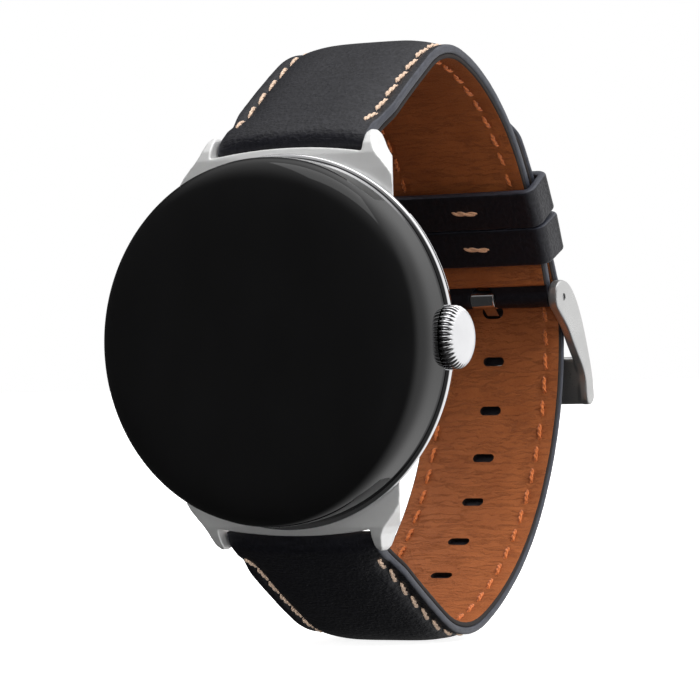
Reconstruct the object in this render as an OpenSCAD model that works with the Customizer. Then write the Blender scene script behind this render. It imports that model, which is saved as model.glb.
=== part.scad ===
// Round smartwatch on a closed leather strap.
// X points to the crown, Z to twelve o'clock, Y from the display to the wrist.
// The origin is the centre of the flat back of the case.
// Inside the modules Y = 0 is the line where the glass meets the metal (see seat()).

/* [Case] */
// Outer diameter of the metal case
case_d = 41; // [40:0.5:42]
// Height of the domed glass in front of the metal
dome_h = 7; // [6.6:0.1:7.4]
// Depth of the case from the glass edge to its flat back
case_depth = 7.3; // [7:0.1:8]
// Diameter of the dark sensor window in the back
window_d = 24; // [20:1:25]
// Wall between the outside of the case and its cavity
case_wall = 2.1; // [2:0.1:2.2]

/* [Crown and side button] */
// Largest diameter of the crown
crown_d = 6.86; // [6.4:0.1:7]
// Depth of the crown's axis behind the glass edge
crown_depth = 1.2; // [1.1:0.05:1.3]
// Distance from the case axis to the crown's inner face
crown_start = 19.2; // [19.1:0.05:19.4]
// Number of grooves round the crown
crown_grooves = 36; // [24:2:40]
// How far the crown presses in
crown_press = 0.25; // [0.1:0.05:0.25]
// First and last angle of the side button above three o'clock
button_angles = [14.7, 41.6];
// How far the side button presses in
button_press = 0.3; // [0.1:0.05:0.3]

/* [Strap] */
// Strap width
strap_w = 18; // [17:0.5:18.4]
// Gap between the lugs
lug_gap = 18.9; // [18.7:0.1:19]
// Thickness of the buckle strap
strap_t = 1.6; // [1.4:0.1:1.6]
// Thickness of the tail strap
tail_t = 1.4; // [1.2:0.1:1.4]
// Thickness of the lining leather
lining_t = 0.55; // [0.4:0.05:0.6]
// Height of the padding where a strap leaves its lugs
pad_h = 1.1; // [0.5:0.1:1.2]
// Length of the padding
pad_len = 36; // [24:1:38]
// Number of size holes in the tail
hole_count = 7; // [5:1:7]
// Distance from one size hole to the next
hole_pitch = 6.3; // [6:0.1:6.4]
// Length of a keeper along the strap
keeper_l = 4.8; // [4:0.1:4.9]
// Leather thickness of a keeper
keeper_t = 1.1; // [0.9:0.1:1.2]

/* [Buckle] */
// Outer width of the buckle frame
buckle_w = 21; // [20.8:0.1:22]
// Thickness of a buckle arm
arm_t = 1.25; // [1:0.05:1.3]
// Diameter of the buckle bar
bar_d = 1.4; // [1.2:0.1:1.4]

/* [Hidden] */
$fn = 72;

case_r = case_d / 2;
glass_r = case_r - 0.5;
glass_power = 6.4;          // fullness of the dome's shoulder
glass_flat = -4.6;          // depth of the glass's flat inner face
cavity_r = case_r - case_wall;
front_face = 0.12;          // metal face that the glass is glued on
fit_gap = 0.04;             // gap between parts that are fixed together
run_gap = 0.05;             // radial gap of a turning or sliding fit

crown_r = crown_d / 2;
crown_shoulder = crown_start + 1.15;
crown_apex = crown_start + 2.8;
crown_split = crown_start + 1.7;    // where the knurled ring meets the cap
stem_r = 0.55;

screw_at = 17.05;            // distance of the bracket screws from the case axis

button_mid = (button_angles[0] + button_angles[1]) / 2;
button_depth = 2.4;
button_h = 1.7;
button_proud = 0.18;        // how far the button stands out of the metal

tongue_depth = 2.15;        // middle of the adapter's tongue
tongue_h = 1.3;
tongue_r = case_r - 1.6;    // inner edge of the tongue
tongue_angle = 34;
latch_depth = 2.1;          // front end of a latch at rest
latch_z = 19;
latch_r = 0.4;
latch_press = 0.5;

lug_bar = [4.4, 21.8];      // depth and height of a lug bar
lug_bar_r = 0.75;
lug_tip_r = 0.4;
lug_bar_l = 20.3;           // lug bar over its tips
loop_r = 1.3;               // leather loop round a lug bar

bar = [51.8, 5.1];          // depth and height of the buckle bar
bar_r = bar_d / 2;
bar_tip_r = 0.4;
roll_r = 1.15;              // leather roll round the buckle bar
roll_slot = 3.3;            // opening of the roll for the tang

arc_step = 4;               // degrees between points on a strap curve
point_gap = 3;              // longest distance between two points on a strap curve
strap_gap = 1.75;           // from the middle of the buckle strap to the middle of the tail

// Buckle strap: from the upper lug bar, as [radius, sweep] arcs
buckle_arcs = [[180, -5.3], [11.7, -46.3], [29, -38], [49.6, -21.7]];
buckle_heading = 36.7;
// Tail: from its free tip down to the lower lug bar
tail_arcs = [[30.75, -10.7], [51.35, -9.6], [400, -1.5], [9.3, -24.4],
             [35.5, -74], [13.8, -47.2], [146, -6.7]];
tip_arcs = [buckle_arcs[0], buckle_arcs[1], [29, -27.4]];   // buckle strap up to the tail's tip
first_hole = 27.6;          // from the tail's tip to the first place for a size hole
tang_hole_s = 28.15;        // middle and length of the slot that the tang goes through
tang_hole_l = 3.5;
keeper_fixed_s = 57;        // places of the keepers along the buckle strap
keeper_sliding_s = 51.8;

function dir(h) = [cos(h), sin(h)];
function left(h) = [-sin(h), cos(h)];
function xy(q) = [q[0], q[1]];

// Place and heading [x, y, heading] after length s along one arc
function along(q, arc, s) =
    let (g = q[2] + sign(arc[1]) * s / arc[0] * 180 / PI, r = arc[0] * sign(arc[1]),
         c = xy(q) + r * left(q[2]), p = c - r * left(g))
    [p[0], p[1], g];
function arc_len(arc) = arc[0] * abs(arc[1]) * PI / 180;
// Place and heading after length s along a chain of tangent arcs
function walk(q, arcs, s, i = 0) =
    i == len(arcs) - 1 || s <= arc_len(arcs[i]) ? along(q, arcs[i], s)
    : walk(along(q, arcs[i], arc_len(arcs[i])), arcs, s - arc_len(arcs[i]), i + 1);
// Points [x, y, heading, length so far] along the chain
function chain(q, arcs, s = 0, i = 0) =
    i == len(arcs) ? [[q[0], q[1], q[2], s]]
    : let (l = arc_len(arcs[i]), n = max(2, ceil(abs(arcs[i][1]) / arc_step), ceil(l / point_gap)))
      concat([for (k = [0 : n - 1]) let (p = along(q, arcs[i], l * k / n))
                  [p[0], p[1], p[2], s + l * k / n]],
             chain(along(q, arcs[i], l), arcs, s + l, i + 1));
function total_len(arcs, i = 0) = i == len(arcs) ? 0 : arc_len(arcs[i]) + total_len(arcs, i + 1);
function reversed(v) = [for (i = [len(v) - 1 : -1 : 0]) v[i]];
// Outline of a layer between two distances from a curve. The outer one is raised by the
// padding, which is highest at the end of the curve given as pad_s
function layer(points, lo, hi, pad_s = undef) =
    concat([for (q = points) xy(q) + lo * left(q[2])],
           reversed([for (q = points) xy(q) + (hi + swell(q[3], pad_s)) * left(q[2])]));
// Padding height, full near the lugs and falling to nothing
function swell(s, pad_s) =
    is_undef(pad_s) || abs(s - pad_s) >= pad_len ? 0
    : pad_h * (1 - pow(abs(s - pad_s) / pad_len, 3));

buckle_start = [lug_bar[0], lug_bar[1], buckle_heading];
buckle_path = chain(buckle_start, buckle_arcs);
tip_place = walk(buckle_start, tip_arcs, total_len(tip_arcs));
tail_start = concat(xy(tip_place) + strap_gap * left(tip_place[2]), [tip_place[2]]);
tail_path = chain(tail_start, tail_arcs);
tail_len = total_len(tail_arcs);
// The stretches of both curves that lie over padding
buckle_padded = [for (q = buckle_path) if (q[3] < pad_len) q];
tail_padded = [for (q = tail_path) if (q[3] > tail_len - pad_len) q];

// Points of a superellipse quadrant from [a, 0] to [0, b]
function dome_points(a, b, n, steps = 22) =
    [for (i = [0 : steps]) let (t = 90 * i / steps)
        [a * pow(cos(t), 2 / n), b * pow(sin(t), 2 / n)]];

// ---- helpers ----

// Puts the glass edge plane so that the back of the case is at Y = 0
module seat() { translate([0, -case_depth, 0]) children(); }
// Turned about the case axis from an outline of [radius, depth]
module turned() { rotate([-90, 0, 0]) rotate_extrude($fn = 144) children(); }
// Turned about the crown's axis from an outline of [radius, distance from the case axis]
module crown_turned() {
    translate([0, crown_depth, 0]) rotate([0, 90, 0]) rotate_extrude() children();
}
// Side outline [depth, height] extruded across X
module across(w) { rotate([90, 0, 90]) linear_extrude(w, center = true) children(); }
// Plan outline [X, Z] extruded in depth from d0 to d1
module plan(d0, d1) { translate([0, d1, 0]) rotate([90, 0, 0]) linear_extrude(d1 - d0) children(); }
// Rod along X through a point [depth, height]
module rod(p, r, w) { translate([0, p[0], p[1]]) rotate([0, 90, 0]) cylinder(r = r, h = w, center = true); }
// Disc or ring about the case axis
module ring(r0, r1, d0, d1) {
    rotate([-90, 0, 0]) translate([0, 0, d0]) difference() {
        cylinder(r = r1, h = d1 - d0, $fn = 144);
        if (r0 > 0) translate([0, 0, -1]) cylinder(r = r0, h = d1 - d0 + 2, $fn = 144);
    }
}
// Box given by its middle [X, depth, Z] and its size
module block(mid, size) { translate(mid) cube(size, center = true); }
// Wedge outline about the origin between two angles
module wedge(a0, a1, r = 40) {
    mid = (a0 + a1) / 2;
    polygon([[0, 0], r * dir(a0), 1.4 * r * dir(mid), r * dir(a1)]);
}
// Ring sector about the case axis
module sector(r0, r1, d0, d1, a0, a1) {
    plan(d0, d1) intersection() {
        difference() {
            circle(r = r1, $fn = 144);
            circle(r = r0, $fn = 144);
        }
        wedge(a0, a1);
    }
}
module rounded_box_2d(size, r) {
    square([size[0] - 2 * r, size[1]], center = true);
    square([size[0], size[1] - 2 * r], center = true);
    for (x = [-1, 1], y = [-1, 1])
        translate([x * (size[0] / 2 - r), y * (size[1] / 2 - r)]) circle(r = r, $fn = 32);
}
// Moves a shape made along Z to the place and direction of a strap curve:
// local X stays X, local Y points outward, local Z runs along the curve
module at_strap(q) {
    translate([0, q[0], q[1]]) rotate([q[2] - 90, 0, 0]) mirror([0, 1, 0]) children();
}
// Mirrors a part to six o'clock
module at_six() { mirror([0, 0, 1]) children(); }

// ---- shared cuts ----

// Outside of the metal case with an allowance
module case_outline(gap = 0) {
    polygon([[0, front_face - gap], [case_r - 0.45 + gap, front_face - gap],
             [case_r - 0.1 + gap, 0.27 - gap / 2], [case_r + gap, 0.6], [case_r - 0.4 + gap, 1.5],
             [case_r - 0.95 + gap, 2.6], [case_r - 1.45 + gap, 3.8], [case_r - 1.85 + gap, 4.9],
             [case_r - 2.4 + gap, 5.7 + gap], [case_r - 3 + gap, 6.3 + gap], [0, 6.3 + gap]]);
}
// Scoop that the crown sits in
module crown_relief() {
    translate([crown_start - crown_press - 0.1, crown_depth, 0]) rotate([0, 90, 0])
        cylinder(r = crown_r + 0.17, h = 6);
}
// Groove for an adapter's tongue, with its latch hole
module upper_groove() {
    sector(tongue_r - 0.1, case_r + 2, tongue_depth - tongue_h / 2 - fit_gap,
           tongue_depth + tongue_h / 2 + fit_gap, 88 - tongue_angle, 92 + tongue_angle);
    latch_hole();
}
module latch_hole() {
    translate([0, latch_depth - latch_press - 0.2, latch_z]) rotate([-90, 0, 0])
        cylinder(r = latch_r + run_gap, h = 6);
}

// ---- case ----

module cover_glass() {
    outer = dome_points(glass_r, -dome_h, glass_power);
    color([0.03, 0.03, 0.035]) seat() difference() {
        turned() polygon(concat([[cavity_r - 0.5, 0]], outer,
                                [[0, glass_flat], [glass_r - 3, glass_flat], [cavity_r - 0.5, -1.6]]));
        crown_relief();
    }
}

module display_seal() {
    color([0.1, 0.1, 0.1]) seat() difference() {
        ring(cavity_r + 0.2, glass_r - 0.3, 0, front_face);
        crown_relief();
    }
}

module display_panel() {
    color([0.02, 0.02, 0.05]) seat() ring(0, glass_r - 3.1, glass_flat, glass_flat + 0.8);
}

module display_plate() {
    color([0.55, 0.56, 0.58]) seat() ring(0, glass_r - 3.3, glass_flat + 0.8, glass_flat + 1.1);
}

module case_body() {
    color([0.82, 0.82, 0.84]) seat() difference() {
        union() {
            turned() difference() {
                case_outline();
                polygon([[0, -1], [cavity_r, -1], [cavity_r, 2.6], [cavity_r - 0.5, 4.6],
                         [cavity_r - 0.8, 5.2], [0, 5.2]]);
                square([cavity_r - 2, 10]);
                translate([0, 5.9]) square([cavity_r - 0.9, 2]);
            }
            crown_boss();
        }
        crown_relief();
        translate([0, crown_depth, 0]) rotate([0, 90, 0]) cylinder(r = 0.9, h = 30);
        upper_groove();
        at_six() upper_groove();
        button_pocket();
        for (a = [45 : 90 : 315]) rotate([0, a, 0]) translate([screw_at, 5.2, 0])
            rotate([-90, 0, 0]) cylinder(r = 0.52, h = 1, center = true);
    }
}

// Thickening of the wall that holds the crown's tube
module crown_boss() {
    intersection() {
        block([cavity_r - 0.4, crown_depth + 0.4, 0], [2.4, 2.9, 4]);
        ring(0, cavity_r + 0.4, front_face, 6);
    }
}

module button_pocket() {
    h = button_h / 2 + 0.08;
    sector(case_r - 1.8, case_r + 2, button_depth - h, button_depth + h,
           button_angles[0] - 0.5, button_angles[1] + 0.5);
    rotate([0, -button_mid, 0]) translate([0, button_depth, 0]) rotate([0, 90, 0])
        cylinder(r = 0.66, h = 30);
}

module back_cover() {
    r = cavity_r - 1;
    w = window_d / 2 + fit_gap;
    color([0.2, 0.2, 0.22]) seat() turned()
        polygon([[w, 6.05], [r, 6.05], [r, 6.4], [r - 0.7, 6.75], [r - 2.2, 7.05],
                 [w + 1, 7.2], [w, 7.22]]);
}

module back_seal() {
    color([0.12, 0.12, 0.12]) seat() ring(cavity_r - 1.9, cavity_r - 1.1, 5.9, 6.05);
}

module sensor_window() {
    r = window_d / 2;
    color([0.02, 0.02, 0.03]) seat() turned()
        polygon([[0, 6.1], [r, 6.1], [r, 7.2], [r - 0.6, 7.27], [r - 1.6, case_depth],
                 [0, case_depth]]);
}

module sensor_board() {
    color([0.1, 0.3, 0.18]) seat() {
        ring(0, window_d / 2 - 0.8, 5.45, 5.8);
        for (a = [0 : 60 : 300]) rotate([0, a, 0]) block([6.2, 5.92, 0], [1.6, 0.24, 1.2]);
        block([0, 5.92, 0], [2.4, 0.24, 2.4]);
    }
}

module charging_coil() {
    color([0.72, 0.42, 0.2]) seat() ring(window_d / 2 - 0.4, cavity_r - 2.2, 5.35, 5.85);
}

// ---- inside ----

// Plate under the battery, with three curved walls round it
module inner_bracket() {
    color([0.35, 0.36, 0.38]) seat() difference() {
        union() {
            ring(0, cavity_r - 0.85, 4.62, 5.2);
            for (a = [60 : 90 : 240]) sector(cavity_r - 1.7, cavity_r - 1.1, 1.2, 4.8, a, a + 60);
        }
        for (a = [45 : 90 : 315]) rotate([0, a, 0]) translate([screw_at, 4, 0])
            rotate([-90, 0, 0]) cylinder(r = 0.55, h = 3);
        block([0, 4.9, 0], [14, 2, 6]);
    }
}

module bracket_screws() {
    color([0.7, 0.7, 0.72]) seat() for (a = [45 : 90 : 315]) rotate([0, a, 0])
        translate([screw_at, 0, 0]) rotate([-90, 0, 0]) difference() {
            union() {
                translate([0, 0, 4.12]) cylinder(r = 0.85, h = 0.5);
                translate([0, 0, 4.6]) cylinder(r = 0.5, h = 1.05);
            }
            translate([0, 0, 4]) cylinder(r = 0.35, h = 0.35, $fn = 6);
        }
}

module battery() {
    color([0.25, 0.27, 0.3]) seat() plan(0.9, 4.5) translate([-1.5, 0]) rounded_box_2d([22, 24], 3);
}

module main_board() {
    color([0.08, 0.25, 0.16]) seat() difference() {
        ring(0, cavity_r - 1.2, -0.1, 0.6);
        block([15.35, 0, 0], [11.3, 4, 7]);
    }
}

module board_chips() {
    color([0.09, 0.09, 0.1]) seat() {
        block([-3, -0.6, 5], [8, 1, 8]);
        block([6, -0.5, 7], [5, 0.8, 5]);
        block([-5, -0.5, -6], [6, 0.8, 5]);
        block([4.5, -0.45, -5.5], [4, 0.7, 6]);
        for (z = [-11, 11], x = [-4, 0, 4]) block([x, -0.35, z], [1.6, 0.5, 1]);
    }
}

module haptic_motor() {
    color([0.6, 0.6, 0.62]) seat() plan(1.1, 4.1) translate([0, -14]) rounded_box_2d([8, 3.2], 0.8);
}

module speaker() {
    color([0.15, 0.15, 0.16]) seat() plan(1.1, 4.2) translate([-14, 2.5]) rounded_box_2d([2.4, 7], 0.8);
}

// ---- crown ----

module crown_tube() {
    color([0.75, 0.75, 0.76]) seat() translate([16.9, crown_depth, 0]) rotate([0, 90, 0])
        difference() {
            cylinder(r = 0.88, h = 1.95);
            translate([0, 0, -1]) cylinder(r = stem_r + run_gap, h = 4);
        }
}

module crown_seal() {
    color([0.08, 0.08, 0.08]) seat() translate([16.3, crown_depth, 0]) rotate([0, 90, 0])
        difference() {
            cylinder(r = 0.95, h = 0.45);
            translate([0, 0, -1]) cylinder(r = stem_r + 0.08, h = 3);
        }
}

module crown_stem() {
    color([0.78, 0.78, 0.8]) seat() translate([12.4, crown_depth, 0]) rotate([0, 90, 0])
        cylinder(r = stem_r, h = crown_split - 12.4);
}

module encoder_wheel() {
    color([0.3, 0.3, 0.32]) seat() translate([14.2, crown_depth, 0]) rotate([0, 90, 0])
        difference() {
            cylinder(r = 1.5, h = 0.7);
            translate([0, 0, -1]) cylinder(r = stem_r, h = 3);
            for (a = [0 : 30 : 330]) rotate([0, 0, a]) translate([1.5, 0, -1]) cylinder(r = 0.16, h = 3);
        }
}

// Push plate that rides on the stem's end and works the switch without turning
module crown_plunger() {
    color([0.2, 0.2, 0.22]) seat() translate([0, crown_depth, 0]) difference() {
        translate([11.9, 0, 0]) cube([1.9, 2.6, 2.6], center = true);
        translate([12.35, 0, 0]) rotate([0, 90, 0]) cylinder(r = stem_r + run_gap, h = 3);
    }
}

module crown_switch() {
    color([0.65, 0.6, 0.4]) seat() block([10.15, crown_depth - 0.35, 0], [0.9, 1.3, 2.4]);
}

module crown_encoder() {
    color([0.12, 0.12, 0.13]) seat() block([14.55, 3.55, 0], [2, 1.3, 2.6]);
}

// The knurled ring, chamfered at its inner face
module crown_ring() {
    color([0.8, 0.8, 0.82]) seat() difference() {
        crown_turned() intersection() {
            polygon([[0, crown_start], [crown_r - 0.35, crown_start], [crown_r, crown_start + 0.35],
                     [crown_r, crown_shoulder], [crown_r, crown_split], [0, crown_split]]);
            crown_profile();
        }
        for (i = [0 : crown_grooves - 1]) translate([crown_start - 1, crown_depth, 0])
            rotate([i * 360 / crown_grooves, 0, 0]) translate([0, crown_r + 0.02, 0])
                rotate([0, 90, 0]) cylinder(r = 0.16, h = 6, $fn = 16);
        translate([0, crown_depth, 0]) rotate([0, 90, 0]) cylinder(r = stem_r, h = 30);
    }
}

// Outline of the whole crown: straight, then a full dome
module crown_profile() {
    dome = dome_points(crown_r, crown_apex - crown_shoulder, 2.2, 14);
    polygon(concat([[0, crown_start], [crown_r, crown_start]],
                   [for (p = dome) [p[0], p[1] + crown_shoulder]]));
}

module crown_cap() {
    color([0.88, 0.88, 0.9]) seat() crown_turned() intersection() {
        crown_profile();
        translate([0, crown_split]) square([10, 10]);
    }
}

// ---- side button ----

module side_button() {
    h = button_h / 2;
    color([0.85, 0.85, 0.87]) seat() {
        intersection() {
            sector(case_r - 1.45, case_r + 1, button_depth - h, button_depth + h,
                   button_angles[0], button_angles[1]);
            turned() case_outline(button_proud);
        }
        rotate([0, -button_mid, 0]) translate([15.9, button_depth, 0]) rotate([0, 90, 0])
            cylinder(r = 0.6, h = case_r - 1.2 - 15.9);
    }
}

module button_seal() {
    color([0.08, 0.08, 0.08]) seat() rotate([0, -button_mid, 0]) translate([17.6, button_depth, 0])
        rotate([0, 90, 0]) difference() {
            cylinder(r = 1, h = 0.6);
            translate([0, 0, -1]) cylinder(r = 0.68, h = 3);
        }
}

module button_switch() {
    color([0.65, 0.6, 0.4]) seat() rotate([0, -button_mid, 0])
        block([15, button_depth - 0.3, 0], [1, 1.6, 2.6]);
}

// ---- adapters ----

// Half outline of an adapter in plan, from the case to the lug's tip
module adapter_plan() {
    for (s = [0, 1]) mirror([s, 0]) polygon([[0, 14], [13.5, 14], [13.4, 16], [13.2, 17.7],
        [12.6, 18.6], [11.2, 20.2], [10.75, 21], [10.5, 21.8], [10.3, 22.4], [10.05, 22.8],
        [9.75, 22.85], [9.5, 22.5], [9.2, 22], [0, 22]]);
}
// Side outline of a lug: rounded front, flatter back
module adapter_side() {
    polygon([[1.15, 12], [1.2, 18.5], [1.35, 20.2], [1.75, 21.3], [2.4, 22.2], [3.1, 22.75],
             [3.8, 22.95], [4.5, 22.8], [5, 22.3], [5.25, 21.5], [5.3, 20], [5.3, 12]]);
}

module upper_adapter_shape() {
    difference() {
        union() {
            difference() {
                intersection() {
                    plan(1, 6.1) adapter_plan();
                    across(40) adapter_side();
                }
                turned() case_outline(fit_gap);
                // sides slope inward towards the back
                for (s = [0, 1]) mirror([s, 0, 0]) translate([0, 0, 12]) linear_extrude(12)
                    polygon([[13.4, 1], [16, 1], [16, 6.2], [10.85, 6.2]]);
                // strap notch, its edge bowed towards the strap
                plan(0, 2.61) difference() {
                    translate([-lug_gap / 2, 15]) square([lug_gap, 10]);
                    translate([0, 21.2 - 57]) circle(r = 57, $fn = 200);
                }
                plan(2.6, 8) translate([-lug_gap / 2, 15]) square([lug_gap, 10]);
            }
            sector(tongue_r, case_r - 0.2, tongue_depth - tongue_h / 2,
                   tongue_depth + tongue_h / 2, 90 - tongue_angle, 90 + tongue_angle);
        }
        rod(lug_bar, lug_tip_r + 0.02, lug_bar_l + 0.2);
        latch_hole();
    }
}

module upper_adapter() { color([0.7, 0.7, 0.7]) seat() upper_adapter_shape(); }
module lower_adapter() { color([0.7, 0.7, 0.7]) seat() at_six() upper_adapter_shape(); }

module lug_bar_shape() {
    rod(lug_bar, lug_bar_r, lug_gap - 0.2);
    rod(lug_bar, lug_tip_r, lug_bar_l);
}
module upper_lug_bar() { color([0.6, 0.6, 0.62]) seat() lug_bar_shape(); }
module lower_lug_bar() { color([0.6, 0.6, 0.62]) seat() at_six() lug_bar_shape(); }

// Release button that locks the adapter's tongue
module latch_shape() {
    translate([0, latch_depth, latch_z]) rotate([-90, 0, 0]) cylinder(r = latch_r, h = 2.1);
}
module upper_latch() { color([0.75, 0.75, 0.77]) seat() latch_shape(); }
module lower_latch() { color([0.75, 0.75, 0.77]) seat() at_six() latch_shape(); }

// ---- strap ----

module buckle_strap_leather() {
    h = strap_t / 2;
    color([0.1, 0.1, 0.13]) seat() difference() {
        union() {
            across(strap_w) polygon(layer(buckle_path, lining_t - h, h, 0));
            rod(lug_bar, loop_r, strap_w);
            rod(bar, roll_r, strap_w);
        }
        across(strap_w - 4) polygon(layer(buckle_padded, lining_t - h, lining_t - h, 0));
        rod(lug_bar, lug_bar_r + 0.02, 40);
        rod(bar, bar_r + 0.02, 40);
        translate([0, bar[0], bar[1] - 2]) cube([roll_slot, 6, 7], center = true);
    }
}

module buckle_strap_lining() {
    h = strap_t / 2;
    color([0.5, 0.25, 0.1]) seat() difference() {
        across(strap_w) polygon(layer(buckle_path, -h, lining_t - h));
        rod(lug_bar, loop_r + 0.02, 40);
        rod(bar, roll_r + 0.25, 40);
        block([0, 50, 0], [40, 10, 12.8]);
    }
}

module buckle_strap_padding() {
    h = strap_t / 2;
    color([0.8, 0.78, 0.7]) seat() difference() {
        across(strap_w - 4) polygon(layer(buckle_padded, lining_t - h, lining_t - h, 0));
        rod(lug_bar, loop_r + 0.02, 40);
    }
}

// A slot through the strap, long across its width, or along it when turned by 90
module slot(q, length, width, turn = 0) {
    at_strap(q) rotate([90, 0, 0]) rotate(turn) linear_extrude(6, center = true) {
        square([length - width, width], center = true);
        for (x = [-1, 1]) translate([x * (length - width) / 2, 0]) circle(r = width / 2, $fn = 24);
    }
}

module tail_holes() {
    for (i = [1 : hole_count - 1])
        slot(walk(tail_start, tail_arcs, first_hole + i * hole_pitch), 2.9, 1.1);
    slot(walk(tail_start, tail_arcs, tang_hole_s), tang_hole_l, 2.2, 90);
}

module tail_strap_leather() {
    h = tail_t / 2;
    color([0.1, 0.1, 0.13]) seat() difference() {
        union() {
            across(strap_w) polygon(layer(tail_path, lining_t - h, h, tail_len));
            at_six() rod(lug_bar, loop_r, strap_w);
        }
        across(strap_w - 4) polygon(layer(tail_padded, lining_t - h, lining_t - h, tail_len));
        at_six() rod(lug_bar, lug_bar_r + 0.02, 40);
        tail_holes();
    }
}

module tail_strap_lining() {
    h = tail_t / 2;
    color([0.5, 0.25, 0.1]) seat() difference() {
        across(strap_w) polygon(layer(tail_path, -h, lining_t - h));
        at_six() rod(lug_bar, loop_r + 0.02, 40);
        tail_holes();
    }
}

module tail_strap_padding() {
    h = tail_t / 2;
    color([0.8, 0.78, 0.7]) seat() difference() {
        across(strap_w - 4) polygon(layer(tail_padded, lining_t - h, lining_t - h, tail_len));
        at_six() rod(lug_bar, loop_r + 0.02, 40);
    }
}

// Leather loop round both straps; lo and hi are its inner faces measured from the strap's middle
module keeper(s, lo, hi) {
    w = strap_w + 0.5;
    at_strap(walk(buckle_start, buckle_arcs, s)) translate([0, (lo + hi) / 2, 0])
        linear_extrude(keeper_l, center = true) difference() {
            rounded_box_2d([w + 2 * keeper_t, hi - lo + 2 * keeper_t], 1.4);
            rounded_box_2d([w, hi - lo], 0.4);
        }
}

module fixed_keeper() {
    color([0.12, 0.12, 0.15]) seat() keeper(keeper_fixed_s, -strap_t / 2 - 0.15, 3);
}

module sliding_keeper() {
    color([0.12, 0.12, 0.15]) seat() keeper(keeper_sliding_s, -strap_t / 2 - 0.45, 2.65);
}

// ---- buckle ----

module buckle_bar() {
    color([0.6, 0.6, 0.62]) seat() {
        rod(bar, bar_r, buckle_w - 2 * arm_t - 0.2);
        rod(bar, bar_tip_r, buckle_w - 0.3);
    }
}

module buckle_frame() {
    elbow = [56, 1.5];
    foot = [59.35, -6.9];
    color([0.72, 0.72, 0.72]) seat() difference() {
        union() {
            across(buckle_w) hull() {
                translate([51.9, 4.95]) circle(r = 2.3, $fn = 32);
                translate(elbow) circle(r = 1.9, $fn = 32);
            }
            across(buckle_w) hull() {
                translate(elbow) circle(r = 1.9, $fn = 32);
                translate(foot) circle(r = 1.15, $fn = 32);
            }
        }
        difference() {
            across(buckle_w - 2 * arm_t) translate([40, -20]) square([40, 40]);
            across(buckle_w) hull() {
                translate([57.7, -2.7]) circle(r = 0.6, $fn = 32);
                translate([59.45, -7.2]) circle(r = 0.8, $fn = 32);
            }
        }
        rod(bar, bar_tip_r + run_gap, 40);
        block([0, 57, -1.9], [2.6, 6, 1.6]);
    }
}

module tang() {
    path = chain([52.5, 4.6, -33.7], [[20, -41.1]]);
    color([0.75, 0.75, 0.76]) seat() difference() {
        union() {
            rod(bar, 1.2, roll_slot - 0.2);
            across(1.6) polygon(layer(path, -0.42, 0.42));
        }
        rod(bar, bar_r + run_gap, 40);
    }
}

cover_glass();
display_seal();
display_panel();
display_plate();
case_body();
back_cover();
back_seal();
sensor_window();
sensor_board();
charging_coil();
inner_bracket();
bracket_screws();
battery();
main_board();
board_chips();
haptic_motor();
speaker();
crown_tube();
crown_seal();
crown_encoder();
crown_switch();
crown_plunger();
crown_stem();
crown_ring();
crown_cap();
encoder_wheel();
side_button();
button_seal();
button_switch();
upper_latch();
lower_latch();
upper_adapter();
lower_adapter();
upper_lug_bar();
lower_lug_bar();
buckle_strap_leather();
buckle_strap_lining();
buckle_strap_padding();
tail_strap_leather();
tail_strap_lining();
tail_strap_padding();
fixed_keeper();
sliding_keeper();
buckle_bar();
buckle_frame();
tang();
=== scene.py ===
"""Looks of a round smartwatch on a closed leather strap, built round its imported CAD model.

Shapes are worked out in millimetres as (x, d, z): x to the crown, d the depth behind the glass
edge, z to twelve o'clock. place() turns them into the row frame, whose origin is the middle of
the flat case back, in metres.
"""

import math

import bmesh
import bpy
import numpy as np
from mathutils import Matrix, Vector, noise


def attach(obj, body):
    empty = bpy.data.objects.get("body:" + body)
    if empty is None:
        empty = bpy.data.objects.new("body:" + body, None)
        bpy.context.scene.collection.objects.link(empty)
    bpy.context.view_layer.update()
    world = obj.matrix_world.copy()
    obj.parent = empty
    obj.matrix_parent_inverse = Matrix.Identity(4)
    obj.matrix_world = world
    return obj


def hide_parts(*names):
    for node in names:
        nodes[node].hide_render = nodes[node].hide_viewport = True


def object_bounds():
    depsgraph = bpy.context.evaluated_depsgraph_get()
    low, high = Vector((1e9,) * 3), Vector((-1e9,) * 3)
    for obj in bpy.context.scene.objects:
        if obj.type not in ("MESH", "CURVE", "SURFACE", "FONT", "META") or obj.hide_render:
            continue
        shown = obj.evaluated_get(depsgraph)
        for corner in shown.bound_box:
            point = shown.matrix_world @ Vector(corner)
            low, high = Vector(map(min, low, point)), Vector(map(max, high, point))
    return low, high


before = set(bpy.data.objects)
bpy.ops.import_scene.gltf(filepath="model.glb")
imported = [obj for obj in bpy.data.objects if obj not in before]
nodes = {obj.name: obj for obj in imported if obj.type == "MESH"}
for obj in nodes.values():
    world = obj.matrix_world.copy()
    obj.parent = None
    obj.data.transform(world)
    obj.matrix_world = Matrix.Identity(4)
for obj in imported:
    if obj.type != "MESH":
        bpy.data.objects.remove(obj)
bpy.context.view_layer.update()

# ---------------------------------------------------------------- design values, mm and degrees
MM = 0.001
CASE_DEPTH = 7.3
CASE_R, GLASS_R, DOME_H, GLASS_POWER, GLASS_FLAT = 20.5, 20.0, 7.0, 6.4, -4.6
CAVITY_R, FRONT_FACE, FIT_GAP = 18.4, 0.12, 0.04
WINDOW_R = 12.0
CROWN_R, CROWN_DEPTH, CROWN_START = 3.43, 1.2, 19.2
CROWN_SHOULDER, CROWN_APEX, CROWN_GROOVES = 20.35, 22.0, 36
STEM_R = 0.55
BUTTON_FROM, BUTTON_TO, BUTTON_DEPTH, BUTTON_H = 14.7, 41.6, 2.4, 1.7
TONGUE_DEPTH, TONGUE_H, TONGUE_R, TONGUE_ANGLE = 2.15, 1.3, 18.9, 34.0
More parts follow.
